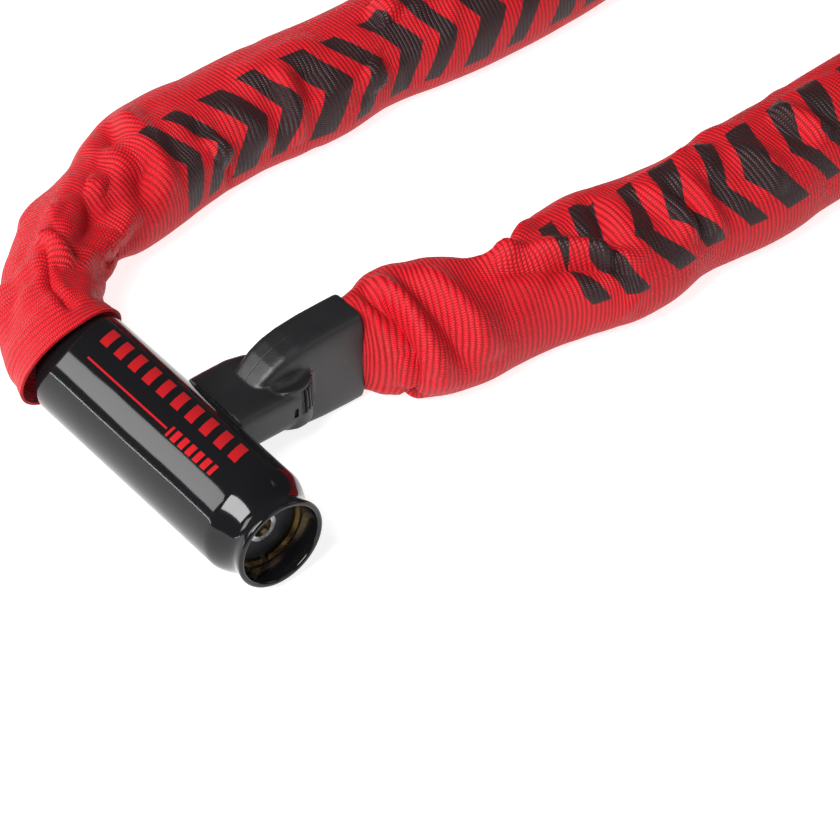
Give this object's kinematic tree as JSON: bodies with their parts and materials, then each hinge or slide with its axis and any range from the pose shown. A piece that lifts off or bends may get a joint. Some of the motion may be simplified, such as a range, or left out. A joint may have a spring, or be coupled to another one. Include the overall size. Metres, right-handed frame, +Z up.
{
  "type": "chain lock",
  "caption": "Bicycle chain lock: a vinyl-dipped barrel with a key core at one end, a sleeved four-sided chain fixed at the other, and a booted tongue that plugs into its side.",
  "frame": {"origin": "centre of the key mouth, on the barrel's axis", "axes": "+Y along the barrel from the key mouth to the chain anchor, +X the way the tongue comes out of the barrel's side, +Z up from the surface that the lock lies on"},
  "size_m": [0.4068, 0.1703, 0.032],
  "materials": {
    "vinyl": "glossy black vinyl dip with a thin red printed line",
    "zinc_yellow": "yellow zinc plated steel",
    "dark_steel": "dark hardened steel with a fine turned face",
    "hard_steel": "hardened steel, dull",
    "bright_steel": "bright plated steel",
    "brass": "plain machined brass",
    "boot_rubber": "satin black moulded rubber with a fine grain",
    "chain_steel": "zinc plated four-sided chain",
    "sleeve_cloth": "ribbed red nylon webbing with bold black printed bars"
  },
  "bodies": {
    "lock_body": {"barrel_cover": "vinyl", "barrel_tube": "zinc_yellow", "rear_plug": "hard_steel", "anchor_pin": "hard_steel", "front_ring": "zinc_yellow", "face_disc": "dark_steel", "cylinder_housing": "brass", "housing_pin": "hard_steel", "plug_pin": "hard_steel", "bolt_guide": "hard_steel", "tongue_socket": "hard_steel"},
    "key_core": {"core_drum": "brass", "keyhole_ring": "bright_steel", "detainer_discs": "brass", "disc_spacers": "bright_steel", "sidebar": "bright_steel", "drive_sleeve": "hard_steel"},
    "bolt": {"deadbolt": "hard_steel", "bolt_pin": "bright_steel"},
    "chain_near": {"chain_link_01": "chain_steel", "chain_link_02": "chain_steel", "sleeve_near": "sleeve_cloth"},
    "chain_arm_a": {"chain_link_03": "chain_steel", "chain_link_04": "chain_steel", "chain_link_05": "chain_steel", "chain_link_06": "chain_steel", "chain_link_07": "chain_steel", "chain_link_08": "chain_steel", "chain_link_09": "chain_steel", "chain_link_10": "chain_steel", "chain_link_11": "chain_steel", "chain_link_12": "chain_steel", "chain_link_13": "chain_steel", "chain_link_14": "chain_steel", "chain_link_15": "chain_steel", "sleeve_arm_a_near": "sleeve_cloth", "sleeve_arm_a_far": "sleeve_cloth"},
    "chain_far": {"chain_link_16": "chain_steel", "chain_link_17": "chain_steel", "sleeve_far_bend": "sleeve_cloth"},
    "chain_end": {"chain_link_18": "chain_steel", "chain_link_19": "chain_steel", "chain_link_20": "chain_steel", "chain_link_21": "chain_steel", "chain_link_22": "chain_steel", "chain_link_23": "chain_steel", "chain_link_24": "chain_steel", "chain_link_25": "chain_steel", "chain_link_26": "chain_steel", "chain_link_27": "chain_steel", "chain_link_28": "chain_steel", "chain_link_29": "chain_steel", "chain_link_30": "chain_steel", "sleeve_end_bend": "sleeve_cloth", "sleeve_arm_b": "sleeve_cloth", "tongue": "hard_steel", "tongue_pin": "hard_steel", "boot": "boot_rubber"}
  },
  "joints": [
    {"name": "key_turn", "type": "hinge", "parent": "lock_body", "child": "key_core", "pos_m": [0, 0.02, 0], "axis": [0, -1, 0], "range_deg": [0, 90]},
    {"name": "deadbolt_throw", "type": "slide", "parent": "lock_body", "child": "bolt", "axis": [0, 1, 0], "range_m": [0, 0.006]},
    {"name": "chain_open", "type": "hinge", "parent": "lock_body", "child": "chain_near", "pos_m": [0, 0.097, 0], "axis": [0, 0, -1], "range_deg": [0, 30]},
    {"name": "near_link_pivot", "type": "hinge", "parent": "chain_near", "child": "chain_arm_a", "pos_m": [0.03116, 0.13964, 0], "axis": [0, 0, -1], "range_deg": [-30, 0]},
    {"name": "far_link_pivot", "type": "hinge", "parent": "chain_arm_a", "child": "chain_far", "pos_m": [0.34539, 0.14039, 0], "axis": [0, 0, -1], "range_deg": [-30, 0]},
    {"name": "end_link_pivot", "type": "hinge", "parent": "chain_far", "child": "chain_end", "pos_m": [0.37655, 0.09775, 0], "axis": [0, 0, -1], "range_deg": [0, 30]}
  ],
  "couplings": [
    {"joint": "deadbolt_throw", "follows": "key_turn", "m_per_rad": 0.0038197},
    {"joint": "near_link_pivot", "follows": "chain_open", "ratio": -1},
    {"joint": "far_link_pivot", "follows": "chain_open", "ratio": -1},
    {"joint": "end_link_pivot", "follows": "chain_open", "ratio": 1}
  ]
}
